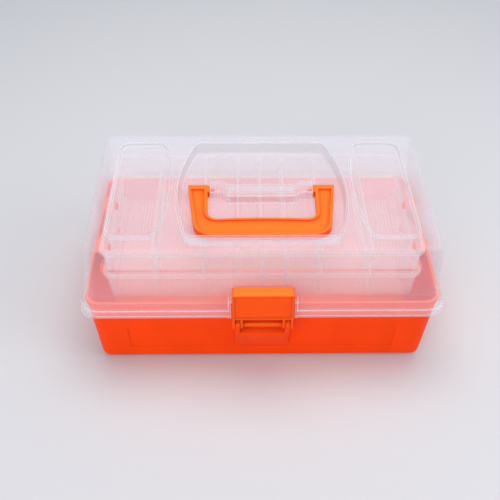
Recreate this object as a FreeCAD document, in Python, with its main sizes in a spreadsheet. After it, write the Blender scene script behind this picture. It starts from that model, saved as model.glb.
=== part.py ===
"""Three-level cantilever tackle box: tub, hinged lid, handle, latch and two fold-out trays.

Frame: X to the right, Y to the back, Z up. The origin is the centre of the tub's underside.
"""
import FreeCAD, Part
import Sketcher
import math
import os

# How far joined forms run into each other, and cuts run past a face.
OVERLAP = 1
# Height of a parabola halfway from its top to its end, as a share of its whole height.
HALFWAY_BOW = 0.75

doc = FreeCAD.newDocument("tackle_box")
sheet = doc.addObject("Spreadsheet::Sheet", "sizes")
fits = doc.addObject("Spreadsheet::Sheet", "fits")

# Driving dimensions, in millimetres and degrees.
SIZES = (
    ("flange_width", 330, "lid skirt, outside, left to right"),
    ("flange_depth", 194.4, "lid skirt, outside, front to back"),
    ("overall_height", 141.6, "underside of the tub to the top of the lid"),
    ("skirt_bottom", 68.7, "height of the skirt's lower edge"),
    ("skirt_top", 78.5, "height where the skirt turns in to the shoulder"),
    ("shoulder_top", 91.9, "height where the shoulder meets the lid wall"),
    ("shoulder_inset", 5.5, "how far the shoulder draws in"),
    ("bead_height", 9, "thick band along the skirt's lower edge"),
    ("bead_step", 0.8, "how far the band stands out"),
    ("bead_corner", 15, "plan radius of the band's corners"),
    ("bead_round", 1.2, "radius along the band's edges"),
    ("lid_slope", 5.75, "draft of the lid wall"),
    ("lid_corner", 19, "plan radius of the skirt's corners"),
    ("lid_round", 3, "radius round the top of the lid"),
    ("lid_wall", 1.8, "lid thickness"),
    ("recess_depth", 12.3, "handle recess below the lid's top"),
    ("recess_half", 77.3, "handle recess, middle line to its widest point"),
    ("recess_back_margin", 14.4, "lid top's back edge to the handle recess"),
    ("recess_front_margin", 19.2, "lid top's front edge to the handle recess"),
    ("recess_bow", 190, "radius of the handle recess's bowed sides"),
    ("recess_bow_y", -4, "middle of the bowed sides"),
    ("recess_corner", 10, "corner radius of the handle recess"),
    ("recess_draft", 4, "draft of the recess walls"),
    ("recess_floor_round", 1.5, "radius round the handle recess's floor"),
    ("panel_margin", 17.2, "lid top's side edge to the side panel"),
    ("panel_inner", 85, "middle line to the side panel's bowed side"),
    ("panel_depth", 4, "side panel below the lid's top"),
    ("panel_bow", 232, "radius of the side panel's bowed side"),
    ("panel_bow_y", 6, "middle of the side panel's bowed side"),
    ("panel_corner", 9, "corner radius of the side panels"),
    ("panel_floor_round", 1, "radius round a side panel's floor"),
    ("base_wall", 2.2, "tub wall"),
    ("base_floor", 2.4, "tub floor"),
    ("base_slope", 4.7, "draft of the tub wall"),
    ("base_round", 7.5, "radius round the tub's underside"),
    ("corner_excess", 0.5, "least excess of a plan corner over the round below it"),
    ("rim_lip", 0.4, "how far the rim's lip stands out"),
    ("rim_lip_height", 4.4, "height of the rim's lip"),
    ("skirt_gap", 2.2, "rim lip to skirt"),
    ("rest_gap", 0.3, "rim lip to the shoulder that rests on it"),
    ("front_panel_half", 124.5, "sunk front panel, half its width"),
    ("front_panel_low", 17, "sunk front panel, lower edge"),
    ("front_panel_high", 47, "sunk front panel, upper edge"),
    ("front_panel_sink", 0.7, "how far the front panel is sunk"),
    ("hinge_reach", 6.3, "skirt to hinge axis"),
    ("hinge_drop", 1.7, "skirt's lower edge to hinge axis"),
    ("hinge_x", 95, "middle line to hinge"),
    ("hinge_pin", 2, "hinge pin radius"),
    ("pin_end", 0.5, "how far a hinge pin stands out of its knuckles"),
    ("hinge_play", 0.06, "radial clearance on the hinge pin"),
    ("knuckle", 4.8, "knuckle radius"),
    ("web_slant", 37, "slant of the webs where they meet a knuckle"),
    ("web_heel", 7.7, "hinge axis down to the heel of the tub's webs"),
    ("web_drop", 16.8, "hinge axis down to the foot of the tub's webs"),
    ("lid_knuckle", 12, "lid knuckle width"),
    ("base_knuckle", 7, "tub knuckle width"),
    ("side_play", 0.4, "sideways gap between parts that turn past each other"),
    ("latch_width", 54.6, "latch, left to right"),
    ("latch_wall", 2.2, "latch thickness"),
    ("latch_lead", 4.3, "skirt to the latch's face"),
    ("latch_rise", 10.1, "shoulder's top to the latch's top"),
    ("latch_low", 71, "height of the latch face's lower edge"),
    ("latch_axis_z", 58, "height of the latch's axis"),
    ("latch_axis_back", 2, "skirt's face back to the latch's axis"),
    ("latch_bar", 2.2, "radius of the latch's hinge bar"),
    ("latch_play", 0.06, "radial clearance on the hinge bar"),
    ("latch_ear", 4.6, "radius of the latch's ears round the axis"),
    ("latch_gap", 0.5, "latch to lid wall and to rim lip"),
    ("latch_arm", 2.2, "width of the latch's inner arms"),
    ("latch_arm_radius", 3.7, "radius of the inner arms round the bar"),
    ("latch_arm_root", 9, "height of the inner arms' root on the latch's face"),
    ("latch_corner", 3, "radius of the latch's top corners"),
    ("latch_edge", 0.6, "bevel where the latch's top meets its face"),
    ("latch_border", 1.9, "width of the raised border on the latch's face"),
    ("latch_sink", 0.8, "height of that border"),
    ("lug_width", 4.2, "width of the tub's latch lugs"),
    ("lug_radius", 6, "radius of the latch lugs round the axis"),
    ("boss_half", 21.5, "boss under the latch, half its width"),
    ("boss_top", 47, "boss under the latch, height of its top"),
    ("boss_low", 20, "boss under the latch, lower edge"),
    ("boss_edge", 3, "height of the boss's upright edge"),
    ("boss_lead", 1.2, "boss top's edge back from the skirt's face"),
    ("notch_half", 28.4, "skirt's cut-out at the latch, half its width"),
    ("notch_cheek", 2.4, "thickness of the cut-out's ends"),
    ("handle_half", 68.6, "handle, middle line to a leg's outer side at the axis"),
    ("handle_front_half", 60.2, "handle, middle line to its front corner"),
    ("handle_inner_half", 50.4, "handle, middle line to a leg's inner side at the axis"),
    ("handle_inner_front", 48.8, "handle, middle line to its inner corner"),
    ("handle_bar", 21.6, "depth of the handle's bar"),
    ("handle_front_gap", 5.7, "recess's front edge to the handle"),
    ("handle_thick", 7, "handle thickness"),
    ("handle_round", 18, "radius of the handle's front corners"),
    ("handle_inner_round", 9, "radius of the handle's inner corners"),
    ("handle_bow", 1.8, "bow of the bar's inner edge"),
    ("handle_ridge", 3, "width of the raised edge round the handle's top"),
    ("handle_ridge_height", 2, "height of the raised edge"),
    ("handle_channel_round", 1.5, "radius round the floor inside the raised edge"),
    ("handle_edge", 1, "radius along the handle's edges"),
    ("handle_heel", 2.6, "handle axis to the back of the legs"),
    ("handle_block", 4, "handle axis to the channel along the legs"),
    ("handle_shoulder", 1.8, "how far the shoulder at a pivot stub stands in"),
    ("handle_shoulder_front", 8, "handle axis to the shoulder's front"),
    ("handle_shoulder_back", 2, "handle axis to the shoulder's back"),
    ("handle_shoulder_half", 3.2, "half the shoulder's height"),
    ("handle_axis_y", 7, "handle axis behind the middle"),
    ("handle_axis_drop", 8, "lid's top to the handle axis"),
    ("handle_stub", 2.2, "radius of the handle's pivot stubs"),
    ("handle_play", 0.08, "radial clearance on the stubs"),
    ("handle_stub_length", 5, "length of the pivot stubs"),
    ("bridge_gap", 0.6, "handle's shoulders to the lid's handle bridge"),
    ("bridge_end", 10, "length of the bridge's ends"),
    ("bridge_core", 30.9, "middle line to the end of the bridge's deep middle"),
    ("bridge_front", 14.8, "handle axis to the bridge's front"),
    ("bridge_back", 3, "handle axis to the bridge's back"),
    ("bridge_end_front", 9, "handle axis to the front of the bridge's ends"),
    ("bridge_end_back", 8.7, "handle axis to the back of the bridge's ends"),
    ("bridge_rise", 8, "height of the bridge above the recess floor"),
    ("tray_front_gap", 19.4, "rim's inside to the trays, front"),
    ("tray_back_gap", 12.2, "rim's inside to the trays, back"),
    ("tray_side_gap", 2, "tray rim to arm"),
    ("lower_tray_depth", 31.9, "lower tray, rim to underside"),
    ("upper_tray_depth", 26.1, "upper tray, rim to underside"),
    ("tray_top_gap", 4, "upper tray's rim to the recess above it"),
    ("tray_gap", 0.4, "upper tray to lower tray"),
    ("tray_lip", 2.5, "how far the tray rim stands out"),
    ("tray_lip_height", 4.3, "height of the tray rim"),
    ("tray_wall", 1.5, "tray wall and floor"),
    ("tray_slope", 5, "draft of the tray wall"),
    ("tray_corner", 6, "plan radius of the tray's corners"),
    ("tray_round", 2.5, "radius round the tray's underside"),
    ("tray_rib", 1.3, "thickness of the moulded dividing walls"),
    ("tray_rib_inner", 53.5, "middle line to the inner dividing walls"),
    ("tray_rib_outer", 98, "middle line to the outer dividing walls"),
    ("tray_rib_drop", 2, "tray rim down to the dividing walls"),
    ("divider_pitch", 22, "spacing of the loose dividers"),
    ("divider_thick", 1.2, "loose divider thickness"),
    ("divider_gap", 0.3, "loose divider to tray"),
    ("guide_wide", 1.2, "width of a divider guide"),
    ("guide_deep", 2.6, "how far a divider guide stands out"),
    ("pivot_drop", 13.2, "tray's rim down to its pivots"),
    ("pivot_front", 22.9, "tray's front edge to its front pivot"),
    ("pivot_back", 13.2, "tray's back edge to its rear pivot"),
    ("arm_step", 54, "how far back an arm's lower pivot is from the next"),
    ("arm_thick", 2.8, "arm thickness"),
    ("arm_half", 6, "half an arm's width"),
    ("arm_gap", 0.4, "arm to the tub's pivot boss"),
    ("stud", 2.4, "radius of the arms' pivot studs"),
    ("stud_play", 0.07, "radial clearance on the studs"),
    ("stud_depth", 2.8, "length of a stud in the tub"),
    ("stud_head", 3.4, "radius of a stud's head in a tray"),
    ("stud_head_thick", 1.2, "thickness of that head"),
    ("collar", 4, "radius of the spacing collar on an arm"),
    ("pivot_boss", 5.5, "radius of the tub's pivot bosses"),
    ("pivot_boss_rise", 6.1, "how far they stand out from the wall"),
)

# Places and sizes that follow from the driving dimensions.
FITS = (
    ("skirt_half", "sizes.flange_width / 2 - sizes.bead_step"),
    ("skirt_half_deep", "sizes.flange_depth / 2 - sizes.bead_step"),
    ("shoulder_tan", "sizes.shoulder_inset / (sizes.shoulder_top - sizes.skirt_top)"),
    ("shoulder_angle", "atan(shoulder_tan)"),
    ("lid_tan", "tan(sizes.lid_slope)"),
    ("wall_half", "skirt_half - sizes.shoulder_inset"),
    ("wall_half_deep", "skirt_half_deep - sizes.shoulder_inset"),
    ("lid_rise", "sizes.overall_height - sizes.shoulder_top"),
    ("top_half", "wall_half - lid_rise * lid_tan"),
    ("top_half_deep", "wall_half_deep - lid_rise * lid_tan"),
    ("shoulder_skin", "sizes.lid_wall / cos(shoulder_angle)"),
    ("wall_skin", "sizes.lid_wall / cos(sizes.lid_slope)"),
    ("inner_knee", "sizes.skirt_top - (shoulder_skin - sizes.lid_wall) / shoulder_tan"),
    ("inner_neck", "(sizes.shoulder_inset + sizes.skirt_top * shoulder_tan - shoulder_skin"
                   " + wall_skin - sizes.shoulder_top * lid_tan) / (shoulder_tan - lid_tan)"),
    ("neck_inset", "wall_skin - (sizes.shoulder_top - inner_neck) * lid_tan"),
    ("recess_back", "top_half_deep - sizes.recess_back_margin"),
    ("recess_front", "top_half_deep - sizes.recess_front_margin"),
    ("recess_floor", "sizes.overall_height - sizes.recess_depth"),
    ("panel_outer", "top_half - sizes.panel_margin"),
    ("bridge_half", "sizes.handle_inner_half - sizes.handle_shoulder - sizes.bridge_gap"),
    ("lip_half", "skirt_half - sizes.lid_wall - sizes.skirt_gap"),
    ("lip_half_deep", "skirt_half_deep - sizes.lid_wall - sizes.skirt_gap"),
    ("rim_half", "lip_half - sizes.rim_lip"),
    ("rim_half_deep", "lip_half_deep - sizes.rim_lip"),
    ("rim_top", "sizes.skirt_top + (sizes.lid_wall + sizes.skirt_gap - shoulder_skin"
                " - sizes.rest_gap / cos(shoulder_angle)) / shoulder_tan"),
    ("notch_low", "rim_top + sizes.rest_gap"),
    ("base_tan", "tan(sizes.base_slope)"),
    ("foot_half", "rim_half - rim_top * base_tan"),
    ("foot_half_deep", "rim_half_deep - rim_top * base_tan"),
    ("rim_corner", "sizes.lid_corner - sizes.bead_step - sizes.lid_wall - sizes.skirt_gap"
                   " - sizes.rim_lip"),
    ("foot_corner", "max(rim_corner - rim_top * base_tan; sizes.base_round + sizes.corner_excess)"),
    ("base_skin", "sizes.base_wall / cos(sizes.base_slope)"),
    ("hinge_y", "sizes.flange_depth / 2 + sizes.hinge_reach"),
    ("hinge_z", "sizes.skirt_bottom - sizes.hinge_drop"),
    ("knuckle_out", "sizes.knuckle * cos(sizes.web_slant)"),
    ("knuckle_up", "sizes.knuckle * sin(sizes.web_slant)"),
    ("latch_axis_y", "sizes.latch_axis_back - sizes.flange_depth / 2"),
    ("latch_face", "-sizes.flange_depth / 2 - sizes.latch_lead"),
    ("latch_top", "sizes.shoulder_top + sizes.latch_rise"),
    ("ear_inner", "sizes.latch_width / 2 - sizes.latch_wall"),
    ("lug_outer", "ear_inner - sizes.side_play"),
    ("lug_inner", "lug_outer - sizes.lug_width"),
    ("arm_outer_x", "lug_inner - sizes.side_play"),
    ("handle_front", "-recess_front + sizes.handle_front_gap"),
    ("handle_axis_z", "sizes.overall_height - sizes.handle_axis_drop"),
    ("tray_pitch", "sizes.upper_tray_depth + sizes.tray_gap"),
    ("highest_pivot", "rim_top - sizes.rim_lip_height - sizes.pivot_boss"),
    ("upper_tray_rim", "min(recess_floor - sizes.lid_wall - sizes.tray_top_gap;"
                       " highest_pivot + 2 * tray_pitch + sizes.pivot_drop)"),
    ("upper_tray_foot", "upper_tray_rim - sizes.upper_tray_depth"),
    ("lower_tray_rim", "upper_tray_foot - sizes.tray_gap"),
    ("lower_tray_foot", "lower_tray_rim - sizes.lower_tray_depth"),
    ("tray_front", "base_skin + sizes.tray_front_gap - rim_half_deep"),
    ("tray_back", "rim_half_deep - base_skin - sizes.tray_back_gap"),
    ("tray_middle", "(tray_front + tray_back) / 2"),
    ("tray_half_deep", "(tray_back - tray_front) / 2"),
    ("lower_pivot_z", "lower_tray_rim - sizes.pivot_drop"),
    ("base_pivot_z", "lower_pivot_z - tray_pitch"),
    ("arm_outer", "rim_half - (rim_top - base_pivot_z) * base_tan - base_skin"
                  " - sizes.pivot_boss_rise - sizes.arm_gap"),
    ("arm_inner", "arm_outer - sizes.arm_thick"),
    ("tray_half", "arm_inner - sizes.tray_side_gap"),
    ("tray_tan", "tan(sizes.tray_slope)"),
    ("tray_skin", "sizes.tray_wall / cos(sizes.tray_slope)"),
    ("front_pivot", "tray_front + sizes.pivot_front"),
    ("rear_pivot", "tray_back - sizes.pivot_back"),
    ("lower_middle_pivot", "front_pivot + sizes.arm_step"),
    ("upper_middle_pivot", "rear_pivot - sizes.arm_step"),
    ("base_front_pivot", "front_pivot + sizes.arm_step"),
    ("base_rear_pivot", "lower_middle_pivot + sizes.arm_step"),
    ("arm_rise", "atan(tray_pitch / sizes.arm_step)"),
    ("arm_length", "sqrt(sizes.arm_step ^ 2 + tray_pitch ^ 2)"),
    ("stud_head_x", "tray_half - sizes.tray_lip - (sizes.pivot_drop - sizes.tray_lip_height)"
                    " * tray_tan - tray_skin - sizes.arm_gap"),
)

for row, (alias, size, note) in enumerate(SIZES, start=1):
    sheet.set(f"A{row}", note)
    sheet.set(f"B{row}", str(size))
    sheet.setAlias(f"B{row}", alias)
for row, (alias, formula) in enumerate(FITS, start=1):
    fits.set(f"A{row}", alias)
    fits.set(f"B{row}", "=" + formula)
    fits.setAlias(f"B{row}", alias)
doc.recompute()


def number(expression):
    """The value of an expression on the two sheets, as a plain number."""
    value = sheet.evalExpression(str(expression))
    return float(getattr(value, "Value", value))


def bind(item, **expressions):
    """Bind properties of an object to expressions."""
    for name, expression in expressions.items():
        item.setExpression(name, str(expression))


def place(item, x="0", y="0", z="0"):
    """Bind the position of an object."""
    for axis, expression in zip("xyz", (x, y, z)):
        item.setExpression(f"Placement.Base.{axis}", str(expression))
    return item


def new_body(label):
    body = doc.addObject("PartDesign::Body", label)
    body.Label = label
    return body


def new_sketch(body, role, height="0"):
    """A sketch on one of the body's own origin planes, moved along its normal."""
    sketch = body.newObject("Sketcher::SketchObject", body.Name + "_sketch")
    plane = next(item for item in body.Origin.OriginFeatures if item.Role == role)
    sketch.AttachmentSupport = (plane, [""])
    sketch.MapMode = "FlatFace"
    sketch.setExpression("AttachmentOffset.Base.z", str(height))
    return sketch


def constrain(sketch, expression, kind, *where):
    """Add a dimension to a sketch and bind it to an expression."""
    index = sketch.addConstraint(Sketcher.Constraint(kind, *where, number(expression)))
    sketch.setExpression(f"Constraints[{index}]", str(expression))


def outline(sketch, points):
    """A closed outline of straight sides through points given as pairs of expressions."""
    spots = [FreeCAD.Vector(number(x), number(y), 0) for x, y in points]
    lines = [sketch.addGeometry(Part.LineSegment(a, b)) for a, b in zip(spots, spots[1:] + spots[:1])]
    for line, after in zip(lines, lines[1:] + lines[:1]):
        sketch.addConstraint(Sketcher.Constraint("Coincident", line, 2, after, 1))
    for line, (x, y) in zip(lines, points):
        constrain(sketch, x, "DistanceX", -1, 1, line, 1)
        constrain(sketch, y, "DistanceY", -1, 1, line, 1)
    return sketch


def rounded_rectangle(sketch, half_x, half_y, radius, middle_y="0"):
    """Four sides joined by four tangent quarter arcs."""
    a, b, r, m = (number(item) for item in (half_x, half_y, radius, middle_y))
    corners = ((a - r, m - b + r, 270), (a - r, m + b - r, 0),
               (r - a, m + b - r, 90), (r - a, m - b + r, 180))
    spots = ((r - a, m - b), (a - r, m - b), (a, m - b + r), (a, m + b - r),
             (a - r, m + b), (r - a, m + b), (-a, m + b - r), (-a, m - b + r))
    spots = [FreeCAD.Vector(x, y, 0) for x, y in spots]
    sides, arcs = [], []
    for index, (x, y, start) in enumerate(corners):
        sides.append(sketch.addGeometry(Part.LineSegment(spots[2 * index], spots[2 * index + 1])))
        ring = Part.Circle(FreeCAD.Vector(x, y, 0), FreeCAD.Vector(0, 0, 1), r)
        quarter = Part.ArcOfCircle(ring, math.radians(start), math.radians(start + 90))
        arcs.append(sketch.addGeometry(quarter))
    for index in range(4):
        sketch.addConstraint(Sketcher.Constraint("Tangent", sides[index], 2, arcs[index], 1))
        sketch.addConstraint(Sketcher.Constraint("Tangent", arcs[index], 2, sides[(index + 1) % 4], 1))
        sketch.addConstraint(Sketcher.Constraint("Vertical" if index % 2 else "Horizontal", sides[index]))
    for arc in arcs[1:]:
        sketch.addConstraint(Sketcher.Constraint("Equal", arcs[0], arc))
    constrain(sketch, radius, "Radius", arcs[0])
    constrain(sketch, f"2 * ({half_x}) - 2 * ({radius})", "DistanceX", sides[0], 1, sides[0], 2)
    constrain(sketch, f"2 * ({half_y}) - 2 * ({radius})", "DistanceY", sides[1], 1, sides[1], 2)
    constrain(sketch, f"({radius}) - ({half_x})", "DistanceX", -1, 1, sides[0], 1)
    constrain(sketch, f"({middle_y}) - ({half_y})", "DistanceY", -1, 1, sides[0], 1)
    return sketch


def pad(body, sketch, length, slope="0", both_ways=False, backwards=False):
    feature = body.newObject("PartDesign::Pad", body.Name + "_pad")
    feature.Profile = (sketch, [""])
    feature.SideType = "Symmetric" if both_ways else "One side"
    feature.Reversed = backwards
    bind(feature, Length=length, TaperAngle=slope)
    return feature


def pocket(body, sketch, length, both_ways=False, backwards=False):
    """A cut whose direction is proved by the volume that it takes away."""
    doc.recompute()
    volume = body.Shape.Volume
    feature = body.newObject("PartDesign::Pocket", body.Name + "_pocket")
    feature.Profile = (sketch, [""])
    feature.SideType = "Symmetric" if both_ways else "One side"
    feature.Reversed = backwards
    bind(feature, Length=length)
    doc.recompute()
    if body.Shape.Volume > volume - 0.01:
        raise RuntimeError(f"{feature.Name} cuts nothing")
    return feature


def edges(feature, wanted):
    """Names of the feature's edges that a test picks."""
    return [f"Edge{index}" for index, edge in enumerate(feature.Shape.Edges, start=1) if wanted(edge)]


def round_edges(body, feature, radius, wanted):
    doc.recompute()
    fillet = body.newObject("PartDesign::Fillet", body.Name + "_round")
    fillet.Base = (feature, edges(feature, wanted))
    bind(fillet, Radius=radius)
    return fillet


def level(height):
    """Test for edges that lie flat at a height."""
    z = number(height)
    return lambda edge: abs(edge.BoundBox.ZMin - z) < 0.01 and abs(edge.BoundBox.ZMax - z) < 0.01


def along(axis, *rest):
    """Test for straight edges along one axis, with further tests on their middle."""
    def wanted(edge):
        box = edge.BoundBox
        size = {"X": box.XLength, "Y": box.YLength, "Z": box.ZLength}
        straight = edge.Length > 0.01 and size[axis] > 0.99 * edge.Length
        return straight and all(test(box.Center) for test in rest)
    return wanted


def boolean(kind, label, base, tool):
    item = doc.addObject(kind, label)
    item.Label = label
    item.Base = base
    item.Tool = tool
    return item


def cut(label, base, tool):
    return boolean("Part::Cut", label, base, tool)


def common(label, base, tool):
    return boolean("Part::Common", label, base, tool)


def fuse(label, parts):
    item = doc.addObject("Part::MultiFuse", label)
    item.Label = label
    item.Shapes = parts
    return item


def block(label, x, y, z, wide, deep, high):
    """A box given by its lowest corner and its sizes."""
    item = doc.addObject("Part::Box", label)
    bind(item, Length=wide, Width=deep, Height=high)
    return place(item, x, y, z)


def rod(label, x, y, z, radius, length):
    """A cylinder along X that starts at a point."""
    item = doc.addObject("Part::Cylinder", label)
    item.Placement = FreeCAD.Placement(FreeCAD.Vector(), FreeCAD.Rotation(FreeCAD.Vector(0, 1, 0), 90))
    bind(item, Radius=radius, Height=length)
    return place(item, x, y, z)


def bar(label, points, half_x, middle_x="0"):
    """A prism along X from an outline of (y, z) points, centred on a place in X."""
    body = new_body(label)
    pad(body, outline(new_sketch(body, "YZ_Plane", middle_x), points), f"2 * ({half_x})", both_ways=True)
    return body


# ---------------------------------------------------------------------------
# Tub: a drafted, round-cornered shell with a lipped rim, latch lugs on a boss,
# hinge knuckles and four pivot bosses for the arms.
# ---------------------------------------------------------------------------
def tub_wall_y(height):
    """Half depth of the tub's outside at a height."""
    return f"(fits.foot_half_deep + ({height}) * fits.base_tan)"


def make_tub():
    outside = new_body("tub_outside")
    sketch = rounded_rectangle(new_sketch(outside, "XY_Plane"),
                               "fits.foot_half", "fits.foot_half_deep", "fits.foot_corner")
    feature = pad(outside, sketch, "fits.rim_top", "sizes.base_slope")
    round_edges(outside, feature, "sizes.base_round", level("0"))

    lift = "sizes.base_floor * fits.base_tan - fits.base_skin"
    inside = new_body("tub_inside")
    sketch = rounded_rectangle(new_sketch(inside, "XY_Plane", "sizes.base_floor"),
                               f"fits.foot_half + {lift}", f"fits.foot_half_deep + {lift}",
                               f"fits.foot_corner + {lift}")
    feature = pad(inside, sketch, f"fits.rim_top - sizes.base_floor + {OVERLAP}", "sizes.base_slope")
    round_edges(inside, feature, "sizes.base_round - sizes.base_wall", level("sizes.base_floor"))

    lip = new_body("rim_lip")
    sketch = rounded_rectangle(new_sketch(lip, "XY_Plane", "fits.rim_top - sizes.rim_lip_height"),
                               "fits.lip_half", "fits.lip_half_deep", "fits.rim_corner + sizes.rim_lip")
    pad(lip, sketch, "sizes.rim_lip_height")

    # The boss below the latch, and the two lugs that hold its hinge bar.
    boss_edge = "sizes.boss_lead - sizes.flange_depth / 2"
    boss = bar("latch_boss", (
        (f"{OVERLAP} - {tub_wall_y('sizes.boss_top')}", "sizes.boss_top"),
        (boss_edge, "sizes.boss_top"),
        (boss_edge, "sizes.boss_top - sizes.boss_edge"),
        (f"-{tub_wall_y('sizes.boss_low')}", "sizes.boss_low"),
        (f"{OVERLAP} - {tub_wall_y('sizes.boss_low')}", "sizes.boss_low")), "sizes.boss_half")
    lugs = []
    for side, name in ((-1, "left"), (1, "right")):
        middle = f"{side} * (fits.lug_inner + fits.lug_outer) / 2"
        body = bar(f"latch_lug_{name}", (
            (f"{OVERLAP} - {tub_wall_y('sizes.latch_axis_z')}", "sizes.latch_axis_z + sizes.lug_radius"),
            ("fits.latch_axis_y", "sizes.latch_axis_z + sizes.lug_radius"),
            ("fits.latch_axis_y - sizes.lug_radius", "sizes.latch_axis_z"),
            (boss_edge, "sizes.boss_top"),
            (f"-{tub_wall_y('sizes.boss_low')}", "sizes.boss_low"),
            (f"{OVERLAP} - {tub_wall_y('sizes.boss_low')}", "sizes.boss_low")),
            "sizes.lug_width / 2", middle)
        lugs.append(body)
        lugs.append(rod(f"latch_lug_round_{name}", f"{middle} - sizes.lug_width / 2", "fits.latch_axis_y",
                        "sizes.latch_axis_z", "sizes.lug_radius", "sizes.lug_width"))
    bar_hole = rod("latch_bar_hole", f"-fits.lug_outer - {OVERLAP}", "fits.latch_axis_y",
                   "sizes.latch_axis_z", "sizes.latch_bar + sizes.latch_play",
                   f"2 * (fits.lug_outer + {OVERLAP})")

    # Two knuckles each side of either lid knuckle, on webs under the skirt.
    knuckles, pin_holes = [], []
    web_low = "(fits.hinge_z - sizes.web_drop)"
    for side, name in ((-1, "left"), (1, "right")):
        for hand in (-1, 1):
            offset = f"(sizes.lid_knuckle / 2 + sizes.side_play + sizes.base_knuckle / 2)"
            middle = f"{side} * sizes.hinge_x + {hand} * {offset}"
            knuckles.append(bar(f"hinge_web_{name}_{'in' if hand < 0 else 'out'}", (
                (f"{tub_wall_y('fits.hinge_z')} - {OVERLAP}", "fits.hinge_z"),
                ("fits.hinge_y", "fits.hinge_z"),
                ("fits.hinge_y + fits.knuckle_out", "fits.hinge_z - fits.knuckle_up"),
                ("fits.hinge_y - sizes.knuckle", "fits.hinge_z - sizes.web_heel"),
                (f"{tub_wall_y(web_low)} - {OVERLAP}", web_low)),
                "sizes.base_knuckle / 2", middle))
            knuckles.append(rod(f"hinge_knuckle_{name}_{'in' if hand < 0 else 'out'}",
                                f"{middle} - sizes.base_knuckle / 2", "fits.hinge_y", "fits.hinge_z",
                                "sizes.knuckle", "sizes.base_knuckle"))
        reach = "(sizes.lid_knuckle / 2 + sizes.side_play + sizes.base_knuckle)"
        pin_holes.append(rod(f"hinge_pin_hole_{name}", f"{side} * sizes.hinge_x - {reach} - {OVERLAP}",
                             "fits.hinge_y", "fits.hinge_z", "sizes.hinge_pin",
                             f"2 * ({reach} + {OVERLAP})"))

    # Pivot bosses on the inside of the end walls, each with a blind hole for a stud.
    bosses, stud_holes = [], []
    for side, name in ((-1, "left"), (1, "right")):
        for pivot in ("front", "rear"):
            face = "(fits.arm_outer + sizes.arm_gap)"
            start = face if side > 0 else f"-{face} - sizes.pivot_boss_rise - {OVERLAP}"
            hole = f"{face} - {OVERLAP}" if side > 0 else f"-{face} - sizes.stud_depth"
            y = f"fits.base_{pivot}_pivot"
            bosses.append(rod(f"pivot_boss_{name}_{pivot}", start, y, "fits.base_pivot_z",
                              "sizes.pivot_boss", f"sizes.pivot_boss_rise + {OVERLAP}"))
            stud_holes.append(rod(f"stud_hole_{name}_{pivot}", hole, y, "fits.base_pivot_z",
                                  "sizes.stud + sizes.stud_play", f"sizes.stud_depth + {OVERLAP}"))

    # The sunk front panel follows the slope of the wall.
    low, high, sink = "sizes.front_panel_low", "sizes.front_panel_high", "sizes.front_panel_sink"
    sunk = [(f"{shift} - {tub_wall_y(z)}", z)
            for z, shift in ((low, -OVERLAP), (low, sink), (high, sink), (high, -OVERLAP))]
    panel = bar("front_panel_cut", sunk, "sizes.front_panel_half")

    shell = cut("tub_shell", cut("tub_sunk", outside, panel), inside)
    ring = cut("rim_ring", lip, inside)
    solid = fuse("tub_solid", [shell, ring, boss] + lugs + knuckles + bosses)
    return cut("base_tub", solid, fuse("tub_holes", [bar_hole] + pin_holes + stud_holes))


# ---------------------------------------------------------------------------
# Lid: skirt, shoulder and drafted wall, with a sunk handle recess and two side
# panels, a bridge that carries the handle, and a cut-out for the latch.
# ---------------------------------------------------------------------------
def lid_wall_y(height, inset="0"):
    """The front of the lid's wall at a height, or a surface that far behind it."""
    return f"({inset} - fits.wall_half_deep + (({height}) - sizes.shoulder_top) * fits.lid_tan)"


def lid_form(label, inner, start, round_radius):
    """The lid's outer form, or its hollow one thickness in."""
    body = new_body(label)
    thick = "sizes.lid_wall" if inner else "0"
    knee = "fits.inner_knee" if inner else "sizes.skirt_top"
    neck = "fits.inner_neck" if inner else "sizes.shoulder_top"
    draw_in = "fits.neck_inset" if inner else "0"
    top = f"(sizes.overall_height - {thick})"
    skirt = (f"fits.skirt_half - {thick}", f"fits.skirt_half_deep - {thick}",
             f"sizes.lid_corner - sizes.bead_step - {thick}")
    wall = (f"fits.wall_half - {draw_in}", f"fits.wall_half_deep - {draw_in}",
            f"sizes.lid_corner - sizes.bead_step - sizes.shoulder_inset - {draw_in}")
    stack = ((start, knee, skirt, "0"), (knee, neck, skirt, "-fits.shoulder_angle"),
             (neck, top, wall, "-sizes.lid_slope"))
    for low, high, plan, slope in stack:
        sketch = rounded_rectangle(new_sketch(body, "XY_Plane", low), *plan)
        feature = pad(body, sketch, f"{high} - ({low})", slope)
    round_edges(body, feature, round_radius, level(top))
    return body


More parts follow.
